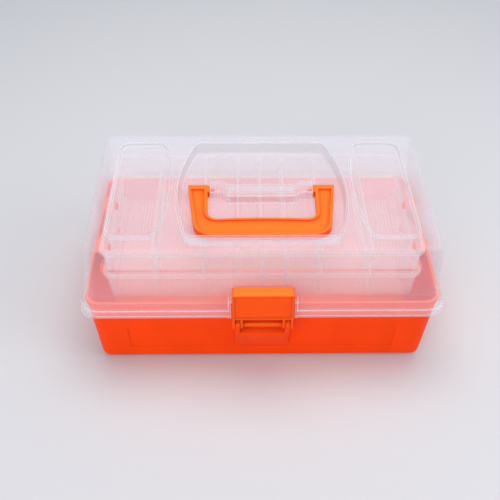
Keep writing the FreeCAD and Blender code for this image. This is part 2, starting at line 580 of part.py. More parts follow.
def sunk_panel(label, depth, grow, left, right, back, front, corner, floor_round):
    """A drafted panel that is sunk in the lid's top, or the skin round it.

    left and right are a place in X, or that place with the radius and the middle of
    a side that bows outwards. grow widens the panel all round at its floor.
    """
    body = new_body(label)
    floor = f"(sizes.overall_height - {depth})"
    sketch = new_sketch(body, "XY_Plane", floor)
    back, front = f"({back} + {grow})", f"({front} - {grow})"
    lines = {}
    ends = {}
    for name, sign, side in (("left", -1, left), ("right", 1, right)):
        tip = f"({side[0]} + {sign} * {grow})"
        ends[name] = [FreeCAD.Vector(number(tip), number(y), 0) for y in (front, back)]
        if len(side) == 3:
            radius = f"({side[1]} + {grow})"
            middle = FreeCAD.Vector(number(f"{tip} - {sign} * {radius}"), number(side[2]), 0)
            for point in ends[name]:
                reach = math.sqrt(number(radius) ** 2 - (point.y - middle.y) ** 2)
                point.x = middle.x + sign * reach
            top = FreeCAD.Vector(number(tip), middle.y, 0)
            lines[name] = sketch.addGeometry(Part.Arc(ends[name][0], top, ends[name][1]))
            constrain(sketch, radius, "Radius", lines[name])
            constrain(sketch, f"{tip} - {sign} * {radius}", "DistanceX", -1, 1, lines[name], 3)
            constrain(sketch, side[2], "DistanceY", -1, 1, lines[name], 3)
        else:
            lines[name] = sketch.addGeometry(Part.LineSegment(*ends[name]))
            sketch.addConstraint(Sketcher.Constraint("Vertical", lines[name]))
            constrain(sketch, tip, "DistanceX", -1, 1, lines[name], 1)
    for index, y in enumerate((front, back)):
        line = sketch.addGeometry(Part.LineSegment(ends["left"][index], ends["right"][index]))
        constrain(sketch, y, "DistanceY", -1, 1, line, 1)
        sketch.addConstraint(Sketcher.Constraint("Horizontal", line))
        for end, name in ((1, "left"), (2, "right")):
            curve = lines[name]
            spots = [sketch.getPoint(curve, place) for place in (1, 2)]
            near = min((1, 2), key=lambda place: abs(spots[place - 1].y - ends[name][index].y))
            sketch.addConstraint(Sketcher.Constraint("Coincident", line, end, curve, near))
    feature = pad(body, sketch, f"{depth} + {OVERLAP}", "sizes.recess_draft")
    tall = number(depth)
    feature = round_edges(body, feature, f"{corner} + {grow}", lambda edge: edge.BoundBox.ZLength > tall)
    round_edges(body, feature, floor_round, level(floor))
    return body


def pan(name, depth, left, right, back, front, corner, floor_round):
    """The hollow of a sunk panel and the solid that leaves a skin below it."""
    draw_in = f"({depth} * tan(sizes.recess_draft))"
    hollow = sunk_panel(name, depth, f"(-{draw_in})", left, right, back, front, corner, floor_round)
    skin = (f"(sizes.lid_wall / cos(sizes.recess_draft) - {draw_in}"
            " - sizes.lid_wall * tan(sizes.recess_draft))")
    solid = sunk_panel(name + "_skin", f"({depth} + sizes.lid_wall)", skin, left, right, back, front,
                       corner, f"{floor_round} + sizes.lid_wall")
    return hollow, solid


def make_lid():
    outside = lid_form("lid_outside", False, "(sizes.skirt_bottom + sizes.bead_height / 2)",
                       "sizes.lid_round")
    inside = lid_form("lid_inside", True, f"(sizes.skirt_bottom - {OVERLAP})",
                      "sizes.lid_round - sizes.lid_wall")
    bead = new_body("skirt_bead")
    sketch = rounded_rectangle(new_sketch(bead, "XY_Plane", "sizes.skirt_bottom"), "sizes.flange_width / 2",
                               "sizes.flange_depth / 2", "sizes.bead_corner")
    feature = pad(bead, sketch, "sizes.bead_height")
    ends = [number("sizes.skirt_bottom"), number("sizes.skirt_bottom + sizes.bead_height")]
    round_edges(bead, feature, "sizes.bead_round",
                lambda edge: any(level(end)(edge) for end in ends))

    bow = ("sizes.recess_bow", "sizes.recess_bow_y")
    side_bow = ("sizes.panel_bow", "sizes.panel_bow_y")
    pans = [pan("handle_recess", "sizes.recess_depth", ("-sizes.recess_half",) + bow,
                ("sizes.recess_half",) + bow, "fits.recess_back", "-fits.recess_front",
                "sizes.recess_corner", "sizes.recess_floor_round"),
            pan("side_panel_left", "sizes.panel_depth", ("-fits.panel_outer",),
                ("-sizes.panel_inner",) + side_bow, "fits.recess_back", "-fits.recess_front",
                "sizes.panel_corner", "sizes.panel_floor_round"),
            pan("side_panel_right", "sizes.panel_depth", ("sizes.panel_inner",) + side_bow,
                ("fits.panel_outer",), "fits.recess_back", "-fits.recess_front",
                "sizes.panel_corner", "sizes.panel_floor_round")]
    hollow = cut("lid_hollow", inside, fuse("pan_skins", [solid for _, solid in pans]))
    shell = cut("lid_shell", fuse("lid_solid", [outside, bead]), hollow)
    shell = cut("lid_sunk", shell, fuse("pan_hollows", [space for space, _ in pans]))

    # The skirt and shoulder are cut away at the latch, and the wall runs on down to the rim.
    fill = bar("notch_frame", (
        ("-sizes.flange_depth / 2", "sizes.skirt_bottom"),
        ("-sizes.flange_depth / 2", "sizes.skirt_top"),
        (lid_wall_y("sizes.shoulder_top"), "sizes.shoulder_top"),
        (lid_wall_y("sizes.shoulder_top", "fits.wall_skin"), "sizes.shoulder_top"),
        (lid_wall_y("fits.notch_low", "fits.wall_skin"), "fits.notch_low"),
        ("sizes.lid_wall - fits.skirt_half_deep", "fits.notch_low"),
        ("sizes.lid_wall - fits.skirt_half_deep", "sizes.skirt_bottom")),
        "sizes.notch_half + sizes.notch_cheek")
    low = f"(sizes.skirt_bottom - {OVERLAP})"
    notch = bar("notch", (
        (f"-sizes.flange_depth / 2 - {OVERLAP}", low),
        (f"-sizes.flange_depth / 2 - {OVERLAP}", "sizes.shoulder_top"),
        (lid_wall_y("sizes.shoulder_top"), "sizes.shoulder_top"),
        (lid_wall_y(low), low)), "sizes.notch_half")

    # The bridge between the handle's legs, hollow below, with a socket in each end.
    bridge = new_body("handle_bridge")
    plan = (("fits.bridge_half", "bridge_end_front", -1), ("fits.bridge_half", "bridge_end_back", 1),
            ("(fits.bridge_half - sizes.bridge_end)", "bridge_end_back", 1),
            ("sizes.bridge_core", "bridge_back", 1))
    right = [(x, f"sizes.handle_axis_y + {sign} * sizes.{reach}") for x, reach, sign in plan]
    front = [("sizes.bridge_core", "sizes.handle_axis_y - sizes.bridge_front"),
             ("(fits.bridge_half - sizes.bridge_end)", "sizes.handle_axis_y - sizes.bridge_end_front")]
    half = front + right
    points = half + [(f"-{x}", y) for x, y in reversed(half)]
    sketch = outline(new_sketch(bridge, "XY_Plane", "fits.recess_floor - sizes.lid_wall"), points)
    pad(bridge, sketch, "sizes.lid_wall + sizes.bridge_rise")
    core_hollow = block("bridge_hollow", "-sizes.bridge_core",
                        "sizes.handle_axis_y - sizes.bridge_front + sizes.lid_wall",
                        f"fits.recess_floor - sizes.lid_wall - {OVERLAP}", "2 * sizes.bridge_core",
                        "sizes.bridge_front + sizes.bridge_back - 2 * sizes.lid_wall",
                        f"sizes.bridge_rise + {OVERLAP}")
    depth = "(sizes.handle_stub_length - sizes.bridge_gap + sizes.side_play)"
    sockets = [rod(f"handle_socket_{name}", start, "sizes.handle_axis_y", "fits.handle_axis_z",
                   "sizes.handle_stub + sizes.handle_play", f"{depth} + {OVERLAP}")
               for name, start in (("left", f"-fits.bridge_half - {OVERLAP}"),
                                   ("right", f"fits.bridge_half - {depth}"))]

    arms, holes = [], []
    for side, name in ((-1, "left"), (1, "right")):
        middle = f"{side} * sizes.hinge_x"
        arms.append(bar(f"lid_hinge_arm_{name}", (
            (f"sizes.flange_depth / 2 - {OVERLAP}", "sizes.skirt_bottom"),
            ("fits.hinge_y - fits.knuckle_out", "fits.hinge_z - fits.knuckle_up"),
            ("fits.hinge_y", "fits.hinge_z"),
            ("fits.hinge_y + fits.knuckle_out", "fits.hinge_z + fits.knuckle_up"),
            (f"sizes.flange_depth / 2 - {OVERLAP}", "sizes.skirt_bottom + sizes.bead_height")),
            "sizes.lid_knuckle / 2", middle))
        arms.append(rod(f"lid_knuckle_{name}", f"{middle} - sizes.lid_knuckle / 2", "fits.hinge_y",
                        "fits.hinge_z", "sizes.knuckle", "sizes.lid_knuckle"))
        holes.append(rod(f"lid_pin_hole_{name}", f"{middle} - sizes.lid_knuckle / 2 - {OVERLAP}",
                         "fits.hinge_y", "fits.hinge_z", "sizes.hinge_pin + sizes.hinge_play",
                         f"sizes.lid_knuckle + {2 * OVERLAP}"))
    solid = fuse("lid_parts", [shell, fill, bridge] + arms)
    return cut("lid", solid, fuse("lid_cuts", [notch, core_hollow] + sockets + holes))


# ---------------------------------------------------------------------------
# Hinge pins: plain rods pressed into the tub's knuckles.
# ---------------------------------------------------------------------------
def make_hinge_pins():
    reach = "(sizes.lid_knuckle / 2 + sizes.side_play + sizes.base_knuckle)"
    return [rod(f"hinge_pin_{name}", f"{side} * sizes.hinge_x - {reach} - sizes.pin_end", "fits.hinge_y",
                "fits.hinge_z", "sizes.hinge_pin", f"2 * ({reach} + sizes.pin_end)")
            for side, name in ((-1, "left"), (1, "right"))]


# ---------------------------------------------------------------------------
# Latch: a hollow cap over the lid's cut-out that swings down on a bar held
# between two lugs of the tub.
# ---------------------------------------------------------------------------
def make_latch():
    back_z = "(fits.notch_low + sizes.latch_gap)"
    gap = "(0 - sizes.latch_gap)"
    lip = "(fits.lip_half_deep + sizes.latch_gap)"
    inner_face = "(fits.latch_face + sizes.latch_wall)"
    under_top = "(fits.latch_top - sizes.latch_wall)"
    outside = ("fits.latch_face", "sizes.latch_low"), ("fits.latch_face", "fits.latch_top")
    face = bar("latch_front", outside + (
        (lid_wall_y("fits.latch_top", gap), "fits.latch_top"),
        (lid_wall_y(under_top, gap), under_top),
        (inner_face, under_top),
        (inner_face, "sizes.latch_low")), "sizes.latch_width / 2")
    parts = [face]
    for side, name in ((-1, "left"), (1, "right")):
        middle = f"{side} * (fits.ear_inner + sizes.latch_wall / 2)"
        parts.append(bar(f"latch_ear_{name}", outside + (
            (lid_wall_y("fits.latch_top", gap), "fits.latch_top"),
            (lid_wall_y(back_z, gap), back_z),
            (f"-{lip}", back_z),
            (f"-{lip}", "sizes.latch_low"),
            ("fits.latch_axis_y + sizes.latch_ear", "sizes.latch_axis_z"),
            ("fits.latch_axis_y - sizes.latch_ear", "sizes.latch_axis_z")),
            "sizes.latch_wall / 2", middle))
        parts.append(rod(f"latch_ear_round_{name}", f"{middle} - sizes.latch_wall / 2",
                         "fits.latch_axis_y", "sizes.latch_axis_z", "sizes.latch_ear", "sizes.latch_wall"))
        middle = f"{side} * (fits.arm_outer_x - sizes.latch_arm / 2)"
        parts.append(bar(f"latch_arm_{name}", (
            (f"{inner_face} - {OVERLAP}", "sizes.latch_low"),
            (f"{inner_face} - {OVERLAP}", "sizes.latch_low + sizes.latch_arm_root"),
            ("fits.latch_axis_y + sizes.latch_arm_radius", "sizes.latch_axis_z"),
            ("fits.latch_axis_y - sizes.latch_arm_radius", "sizes.latch_axis_z")),
            "sizes.latch_arm / 2", middle))
        parts.append(rod(f"latch_arm_round_{name}", f"{middle} - sizes.latch_arm / 2", "fits.latch_axis_y",
                         "sizes.latch_axis_z", "sizes.latch_arm_radius", "sizes.latch_arm"))
    parts.append(rod("latch_hinge_bar", f"-fits.ear_inner - {OVERLAP}", "fits.latch_axis_y",
                     "sizes.latch_axis_z", "sizes.latch_bar", f"2 * (fits.ear_inner + {OVERLAP})"))

    # The whole cap is drawn in at its two top corners, and along its top front edge.
    tall = "(fits.latch_top - sizes.latch_axis_z + 2 * sizes.latch_ear)"
    shape = new_body("latch_outline")
    sketch = new_sketch(shape, "XZ_Plane", "0")
    rounded_rectangle(sketch, "sizes.latch_width / 2", f"{tall} / 2", "sizes.latch_corner",
                      f"(fits.latch_top - {tall} / 2)")
    pad(shape, sketch, "-2 * fits.latch_face", both_ways=True)
    corner = bar("latch_edge_corner", (
        ("fits.latch_face", "fits.latch_top"), ("fits.latch_face", "fits.latch_top - sizes.latch_edge"),
        ("fits.latch_face + sizes.latch_edge", "fits.latch_top")), "sizes.latch_width / 2")
    sink = block("latch_face_sink", "sizes.latch_border - sizes.latch_width / 2",
                 f"fits.latch_face - {OVERLAP}", "sizes.latch_low + sizes.latch_border",
                 "sizes.latch_width - 2 * sizes.latch_border", f"sizes.latch_sink + {OVERLAP}",
                 "fits.latch_top - sizes.latch_low - 2 * sizes.latch_border")
    cap = common("latch_cap", fuse("latch_parts", parts), shape)
    return cut("latch", cap, fuse("latch_cuts", [corner, sink]))


# ---------------------------------------------------------------------------
# Handle: a flat U with a raised edge, rounded leg ends and two pivot stubs.
# ---------------------------------------------------------------------------
def handle_plate(label, inset, back, start, high):
    """A slab in the handle's plan, drawn in by an inset, with legs that end at back."""
    front = f"(fits.handle_front + {inset})"
    inner = f"(fits.handle_front + sizes.handle_bar - {inset})"
    half = ((f"(sizes.handle_front_half - {inset})", front),
            (f"(sizes.handle_half - {inset})", back),
            (f"(sizes.handle_inner_half + {inset})", back),
            (f"(sizes.handle_inner_front + {inset})", inner),
            (f"(sizes.handle_inner_front + {inset}) / 2", f"({inner} + {HALFWAY_BOW} * sizes.handle_bow)"))
    middle = ("0", f"({inner} + sizes.handle_bow)")
    mirrored = [(f"-{x}", y) for x, y in reversed(half)]
    body = new_body(label)
    sketch = outline(new_sketch(body, "XY_Plane", start), half + (middle,) + tuple(mirrored))
    feature = pad(body, sketch, high)
    for place_y, reach, radius in (
            (front, "sizes.handle_front_half", f"sizes.handle_round - {inset}"),
            (inner, "sizes.handle_inner_front", f"sizes.handle_inner_round + {inset}")):
        y, least = number(place_y), number(reach) / 2 + number(inset)
        feature = round_edges(body, feature, radius, along(
            "Z", lambda spot, y=y, least=least: abs(spot.y - y) < 0.01 and abs(spot.x) > least))
    return body, feature


def make_handle():
    low = "(fits.handle_axis_z - sizes.handle_thick / 2)"
    plate, feature = handle_plate("handle_plate", "0", "(sizes.handle_axis_y + sizes.handle_heel)", low,
                                  "sizes.handle_thick")
    top, bottom = level(f"{low} + sizes.handle_thick"), level(low)
    round_edges(plate, feature, "sizes.handle_edge", lambda edge: top(edge) or bottom(edge))
    floor = f"{low} + sizes.handle_thick - sizes.handle_ridge_height"
    channel, feature = handle_plate("handle_channel", "sizes.handle_ridge",
                                    "(sizes.handle_axis_y - sizes.handle_block)",
                                    floor, f"sizes.handle_ridge_height + {OVERLAP}")
    round_edges(channel, feature, "sizes.handle_channel_round", level(floor))
    ends = [cut("handle_bow", plate, channel)]
    reach = "(sizes.handle_shoulder + sizes.handle_stub_length)"
    for side, name in ((-1, "left"), (1, "right")):
        outer = f"-sizes.handle_inner_half - {OVERLAP}"
        start = "sizes.handle_inner_half - sizes.handle_shoulder" if side > 0 else outer
        ends.append(block(f"handle_shoulder_{name}", start,
                          "sizes.handle_axis_y - sizes.handle_shoulder_front",
                          "fits.handle_axis_z - sizes.handle_shoulder_half",
                          f"sizes.handle_shoulder + {OVERLAP}",
                          "sizes.handle_shoulder_front + sizes.handle_shoulder_back",
                          "2 * sizes.handle_shoulder_half"))
        start = f"sizes.handle_inner_half - {reach}" if side > 0 else outer
        ends.append(rod(f"handle_stub_{name}", start, "sizes.handle_axis_y", "fits.handle_axis_z",
                        "sizes.handle_stub", f"{reach} + {OVERLAP}"))
    return fuse("handle", ends)


# ---------------------------------------------------------------------------
# Trays: drafted tubs with a turned-down rim, moulded dividing walls, and guides
# for three loose dividers. Both trays are drawn with their underside at zero.
# ---------------------------------------------------------------------------
def tray_block(label, depth, start, inset, round_radius):
    """A drafted block that runs up to the tray's rim, drawn in from its outside."""
    body = new_body(label)
    rise = f"({depth} - sizes.tray_lip_height) * fits.tray_tan"
    grow = f"({start}) * fits.tray_tan - ({inset}) - {rise}"
    corner = f"max(sizes.tray_corner + {grow}; ({round_radius}) + sizes.corner_excess)"
    sketch = rounded_rectangle(new_sketch(body, "XY_Plane", start),
                               f"fits.tray_half - sizes.tray_lip + {grow}",
                               f"fits.tray_half_deep - sizes.tray_lip + {grow}", corner, "fits.tray_middle")
    feature = pad(body, sketch, f"{depth} - {start}", "sizes.tray_slope")
    round_edges(body, feature, round_radius, level(start))
    return body


def tray_ledge(label, inset, start, top):
    """A straight block in the plan of the tray's rim, drawn in by an inset."""
    body = new_body(label)
    sketch = rounded_rectangle(new_sketch(body, "XY_Plane", start),
                               f"fits.tray_half - {inset}", f"fits.tray_half_deep - {inset}",
                               f"sizes.tray_corner + sizes.tray_lip - {inset}", "fits.tray_middle")
    pad(body, sketch, f"{top} - {start}")
    return body


def make_tray(name, depth, height, pivots):
    body_height = f"({depth} - sizes.tray_lip_height)"
    outside = tray_block(f"{name}_outside", depth, "0", "0", "sizes.tray_round")
    inside = tray_block(f"{name}_inside", depth, "sizes.tray_wall", "fits.tray_skin",
                        "sizes.tray_round - sizes.tray_wall")
    rim = tray_ledge(f"{name}_rim", "0", body_height, depth)
    groove = tray_ledge(f"{name}_groove", "sizes.tray_wall", f"({body_height} - {OVERLAP})",
                        f"({depth} - sizes.tray_wall)")
    shell = cut(f"{name}_shell", fuse(f"{name}_mass", [cut(f"{name}_lip", rim, groove), outside]), inside)

    # The walls and guides are moulded into the floor.
    sunk = "(sizes.tray_wall / 2)"
    rise = f"{depth} - sizes.tray_rib_drop - {sunk}"
    walls = [block(f"{name}_wall_{index}", f"{x} - sizes.tray_rib / 2", "fits.tray_front", sunk,
                   "sizes.tray_rib", "2 * fits.tray_half_deep", rise)
             for index, x in enumerate(("-sizes.tray_rib_outer", "-sizes.tray_rib_inner",
                                        "sizes.tray_rib_inner", "sizes.tray_rib_outer"))]
    reach = f"(sizes.tray_lip + {body_height} * fits.tray_tan + fits.tray_skin)"
    for step in (-1, 0, 1):
        for side in (-1, 1):
            offset = "(sizes.divider_thick / 2 + sizes.divider_gap)"
            x = f"{step} * sizes.divider_pitch + {side} * {offset}"
            x = x if side > 0 else f"{x} - sizes.guide_wide"
            for end, y in (("front", "fits.tray_front"),
                           ("back", f"fits.tray_back - {reach} - sizes.guide_deep")):
                walls.append(block(f"{name}_guide_{end}_{step + 1}_{side + 1}", x, y, sunk,
                                   "sizes.guide_wide", f"{reach} + sizes.guide_deep", rise))
    ribs = common(f"{name}_ribs", fuse(f"{name}_blocks", walls), outside)

    holes = []
    for side, hand in ((-1, "left"), (1, "right")):
        for index, y in enumerate(pivots):
            start = "fits.stud_head_x" if side > 0 else "-fits.tray_half"
            holes.append(rod(f"{name}_hole_{hand}_{index}", start, y, f"{depth} - sizes.pivot_drop",
                             "sizes.stud + sizes.stud_play", "fits.tray_half - fits.stud_head_x"))
    tray = cut(name, fuse(f"{name}_body", [shell, ribs]), fuse(f"{name}_holes", holes))
    place(tray, z=height)
    for step, hand in ((-1, "left"), (0, "centre"), (1, "right")):
        sheet_box = block(f"{name}_{hand}_sheet", f"{step} * sizes.divider_pitch - sizes.divider_thick / 2",
                          "fits.tray_front", "0", "sizes.divider_thick", "2 * fits.tray_half_deep",
                          f"{depth} - sizes.tray_rib_drop")
        space = tray_block(f"{name}_{hand}_space", depth, "sizes.tray_wall",
                           "fits.tray_skin + sizes.divider_gap",
                           "sizes.tray_round - sizes.tray_wall - sizes.divider_gap")
        place(common(name.replace("tray", f"divider_{hand}"), sheet_box, space), z=height)
    return tray


# ---------------------------------------------------------------------------
# Arms: flat links with moulded studs, drawn along Y and turned to their rise.
# Studs face out into the tub's bosses and in through the walls of the trays.
# ---------------------------------------------------------------------------
def inward_stud(label, side, along_y):
    """Collar, shank and head that carry one side of a tray."""
    rim = "(fits.tray_half - sizes.tray_lip + sizes.arm_gap)"
    root = f"(fits.arm_inner + {OVERLAP})"
    items = []
    for name, low, high, radius in (
            ("collar", rim, root, "sizes.collar"),
            ("shank", "(fits.stud_head_x - sizes.stud_head_thick / 2)", root, "sizes.stud"),
            ("head", "(fits.stud_head_x - sizes.stud_head_thick)", "fits.stud_head_x", "sizes.stud_head")):
        start = low if side > 0 else f"-{high}"
        items.append(rod(f"{label}_{name}", start, along_y, "0", radius, f"{high} - {low}"))
    return items


def make_arm(name, side, length, pivot_y, pivot_z, inward, outward):
    """A link from its pivot at the origin, with studs at the given places along it."""
    body = new_body(f"{name}_plate")
    start = "fits.arm_inner" if side > 0 else "-fits.arm_outer"
    sketch = new_sketch(body, "YZ_Plane", start)
    outline(sketch, (("0", "-sizes.arm_half"), ("0", "sizes.arm_half"),
                     (f"-{length}", "sizes.arm_half"), (f"-{length}", "-sizes.arm_half")))
    pad(body, sketch, "sizes.arm_thick")
    items = [body]
    for end, y in (("near", "0"), ("far", f"-{length}")):
        items.append(rod(f"{name}_end_{end}", start, y, "0", "sizes.arm_half", "sizes.arm_thick"))
    for index, y in enumerate(inward):
        items += inward_stud(f"{name}_stud_{index}", side, y)
    if outward:
        low = f"fits.arm_outer - {OVERLAP}" if side > 0 else "-fits.arm_outer - sizes.stud_depth"
        items.append(rod(f"{name}_base_stud", low, "0", "0", "sizes.stud",
                         f"sizes.stud_depth + {OVERLAP}"))
    arm = fuse(name, items)
    arm.Placement = FreeCAD.Placement(FreeCAD.Vector(), FreeCAD.Rotation(FreeCAD.Vector(1, 0, 0), -1))
    arm.setExpression("Placement.Rotation.Angle", "-fits.arm_rise")
    return place(arm, y=pivot_y, z=pivot_z)


make_tub()
make_lid()
make_hinge_pins()
make_latch()
make_handle()
make_tray("lower_tray", "sizes.lower_tray_depth", "fits.lower_tray_foot",
          ("fits.front_pivot", "fits.lower_middle_pivot", "fits.rear_pivot"))
make_tray("upper_tray", "sizes.upper_tray_depth", "fits.upper_tray_foot",
          ("fits.front_pivot", "fits.upper_middle_pivot"))
for hand_side, hand_name in ((-1, "left"), (1, "right")):
    make_arm(f"long_arm_{hand_name}", hand_side, "2 * fits.arm_length", "fits.base_rear_pivot",
             "fits.base_pivot_z", ("-fits.arm_length", "-2 * fits.arm_length"), True)
    make_arm(f"short_front_arm_{hand_name}", hand_side, "fits.arm_length", "fits.base_front_pivot",
             "fits.base_pivot_z", ("-fits.arm_length",), True)
    make_arm(f"short_rear_arm_{hand_name}", hand_side, "fits.arm_length", "fits.rear_pivot",
             "fits.lower_pivot_z", ("0", "-fits.arm_length"), False)

NODES = ["base_tub", "lid", "handle", "latch", "hinge_pin_left", "hinge_pin_right",
         "upper_tray", "lower_tray"]
for tier in ("upper", "lower"):
    NODES += [f"{tier}_divider_{place_name}" for place_name in ("left", "centre", "right")]
for arm_name in ("long_arm", "short_front_arm", "short_rear_arm"):
    NODES += [f"{arm_name}_left", f"{arm_name}_right"]

doc.recompute()
for item in doc.Objects:
    if "Invalid" in item.State or "Error" in item.State:
        raise RuntimeError(f"{item.Label} did not build: {item.State}")
os.makedirs("parts", exist_ok=True)
for node in NODES:
    shape = doc.getObjectsByLabel(node)[0].Shape
    if shape.isNull() or not shape.isValid():
        raise RuntimeError(f"{node} has no valid shape")
    shape.exportStep(f"parts/{node}.step")
    print(node, len(shape.Solids), round(shape.Volume / 1000, 2), "cm3")
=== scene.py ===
import math

import bpy
from mathutils import Matrix, Vector


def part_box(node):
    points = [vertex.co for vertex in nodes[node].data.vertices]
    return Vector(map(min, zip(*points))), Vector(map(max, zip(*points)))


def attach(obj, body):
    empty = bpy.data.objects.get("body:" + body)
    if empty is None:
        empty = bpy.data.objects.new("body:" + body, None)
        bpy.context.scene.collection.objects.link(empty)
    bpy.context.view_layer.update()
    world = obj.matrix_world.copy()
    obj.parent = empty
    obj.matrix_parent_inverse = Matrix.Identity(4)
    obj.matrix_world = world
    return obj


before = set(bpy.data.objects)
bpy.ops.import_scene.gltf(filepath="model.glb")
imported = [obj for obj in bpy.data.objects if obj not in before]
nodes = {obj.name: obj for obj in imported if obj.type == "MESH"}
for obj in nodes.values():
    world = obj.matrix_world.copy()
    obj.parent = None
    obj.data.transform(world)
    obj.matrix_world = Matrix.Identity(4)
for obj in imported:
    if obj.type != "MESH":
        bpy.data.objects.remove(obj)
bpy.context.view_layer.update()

# --- Tub -------------------------------------------------------------------
# The lower half, injection moulded in orange polypropylene. Its outside is
# satin from the tool, with flow marks that fan up from the gate in the floor,
# a finer grain on the sunk front panel, and scuffs low down from use.


def surface_group():
    """A shader group for moulded plastic: cloudy colour, edges lightened partly as wear and partly as a
    painted highlight, uneven gloss and fine grain.
    """
    tree = bpy.data.node_groups.new("Moulded Surface", "ShaderNodeTree")
    for name, kind in (("Colour", "Color"), ("Edge Colour", "Color"), ("Edge Share", "Float"),
                       ("Cloud", "Float"), ("Gloss Level", "Float"), ("Gloss Change", "Float"),
                       ("Scuff", "Float"), ("Grain Size", "Float"), ("Grain", "Float"),
                       ("Edge Width", "Float")):
        tree.interface.new_socket(name, in_out="INPUT", socket_type="NodeSocket" + kind)
    for name, kind in (("Colour", "Color"), ("Roughness", "Float"), ("Height", "Float"),
                       ("Edge Mask", "Float"), ("Normal", "Vector")):
        tree.interface.new_socket(name, in_out="OUTPUT", socket_type="NodeSocket" + kind)
    new, link = tree.nodes.new, tree.links.new
    take, give = new("NodeGroupInput"), new("NodeGroupOutput")
    place = new("ShaderNodeTexCoord").outputs["Object"]
    edge_breakup_scale, cloud_scale, patch_scale = 240, 22, 65
    scuff_scale, scuffed_area_scale = 900, 30
    scuff_line, scuffed_area = 0.66, 0.52
    edge_gain = 9

    def connect(value, socket):
        if isinstance(value, (int, float)):
            socket.default_value = value
        else:
            link(value, socket)

    def noise(scale, detail, where=place):
        node = new("ShaderNodeTexNoise")
        link(where, node.inputs["Vector"])
        connect(scale, node.inputs["Scale"])
        node.inputs["Detail"].default_value = detail
        return node.outputs["Fac"]

    def maths(kind, *values, clamp=False):
        node = new("ShaderNodeMath")
        node.operation = kind
        node.use_clamp = clamp
        for socket, value in zip(node.inputs, values):
            connect(value, socket)
        return node.outputs[0]

    # Edges: where the rounded normal leaves the flat one.
    bevel = new("ShaderNodeBevel")
    bevel.samples = 4
    link(take.outputs["Edge Width"], bevel.inputs["Radius"])
    flat = new("ShaderNodeNewGeometry").outputs["Normal"]
    turn = new("ShaderNodeVectorMath")
    turn.operation = "DOT_PRODUCT"
    link(bevel.outputs["Normal"], turn.inputs[0])
    link(flat, turn.inputs[1])
    bend = maths("SUBTRACT", 1, turn.outputs["Value"])
    edge_breakup = maths("MULTIPLY_ADD", noise(edge_breakup_scale, 3), 0.9, 0.55)
    edge = maths("MULTIPLY", maths("MULTIPLY", bend, edge_gain, clamp=True), edge_breakup, clamp=True)
    link(edge, give.inputs["Edge Mask"])
    link(bevel.outputs["Normal"], give.inputs["Normal"])

    # Colour: slow clouds, and the edges shifted towards a paler colour, partly as wear and partly as a
    # painted highlight.
    cloud = maths("SUBTRACT", noise(cloud_scale, 4), 0.5)
    shade = maths("MULTIPLY_ADD", cloud, take.outputs["Cloud"], 1)
    tint = new("ShaderNodeVectorMath")
    tint.operation = "SCALE"
    link(take.outputs["Colour"], tint.inputs[0])
    link(shade, tint.inputs["Scale"])
    rim = new("ShaderNodeMix")
    rim.data_type = "RGBA"
    link(maths("MULTIPLY", edge, take.outputs["Edge Share"]), rim.inputs["Factor"])
    link(tint.outputs[0], rim.inputs["A"])
    link(take.outputs["Edge Colour"], rim.inputs["B"])
    link(rim.outputs["Result"], give.inputs["Colour"])

    # Gloss: patches, and thin scuffs drawn out along one direction.
    patch = maths("SUBTRACT", noise(patch_scale, 6), 0.5)
    gloss = maths("MULTIPLY_ADD", patch, take.outputs["Gloss Change"], take.outputs["Gloss Level"])
    drawn = new("ShaderNodeMapping")
    drawn.inputs["Scale"].default_value = (0.12, 1, 1.6)
    drawn.inputs["Rotation"].default_value = (0, 0.5, 0.3)
    link(place, drawn.inputs["Vector"])
    lines = maths("GREATER_THAN", noise(scuff_scale, 2, drawn.outputs["Vector"]), scuff_line)
    rubbed = maths("MULTIPLY", lines, maths("GREATER_THAN", noise(scuffed_area_scale, 2), scuffed_area))
    rough = maths("MULTIPLY_ADD", rubbed, take.outputs["Scuff"], gloss, clamp=True)
    link(rough, give.inputs["Roughness"])
    fine = maths("MULTIPLY", noise(take.outputs["Grain Size"], 2), take.outputs["Grain"])
    scratch = maths("MULTIPLY", rubbed, take.outputs["Scuff"])
    link(maths("SUBTRACT", fine, scratch), give.inputs["Height"])
    return tree


moulded_surface = surface_group()
grain_height = 0.0002


def plastic(name, colour, edge_wear_and_highlight, edge_share=0.5, cloud=0.1, gloss=0.34, gloss_change=0.12,
            scuff=0.12, grain_size=2600, grain=0.25, edge_width=0.0007, **fixed):
    """A material of moulded plastic. fixed sets further sockets of its shader."""
    material = bpy.data.materials.new(name)
    material.use_nodes = True
    tree = material.node_tree
    shader = tree.nodes["Principled BSDF"]
    surface = tree.nodes.new("ShaderNodeGroup")
    surface.name = "Surface"
    surface.node_tree = moulded_surface
    for socket, value in (("Colour", (*colour, 1)), ("Edge Colour", (*edge_wear_and_highlight, 1)),
                          ("Edge Share", edge_share), ("Cloud", cloud), ("Gloss Level", gloss),
                          ("Gloss Change", gloss_change), ("Scuff", scuff), ("Grain Size", grain_size),
                          ("Grain", grain), ("Edge Width", edge_width)):
        surface.inputs[socket].default_value = value
    bump = tree.nodes.new("ShaderNodeBump")
    bump.name = "Grain"
    bump.inputs["Distance"].default_value = grain_height
    tree.links.new(surface.outputs["Colour"], shader.inputs["Base Color"])
    tree.links.new(surface.outputs["Roughness"], shader.inputs["Roughness"])
    tree.links.new(surface.outputs["Height"], bump.inputs["Height"])
    tree.links.new(surface.outputs["Normal"], bump.inputs["Normal"])
    tree.links.new(bump.outputs["Normal"], shader.inputs["Normal"])
    for socket, value in fixed.items():
        shader.inputs[socket.replace("_", " ")].default_value = value
    return material


def finish_node(name, material):
    """Give a CAD node its material."""
    nodes[name].data.materials.clear()
    nodes[name].data.materials.append(material)


# Streaks to the metre across and up the wall, and the noise between which they fade in.
streak_scale = (26, 26, 5)
streak_low, streak_high = 0.35, 0.75


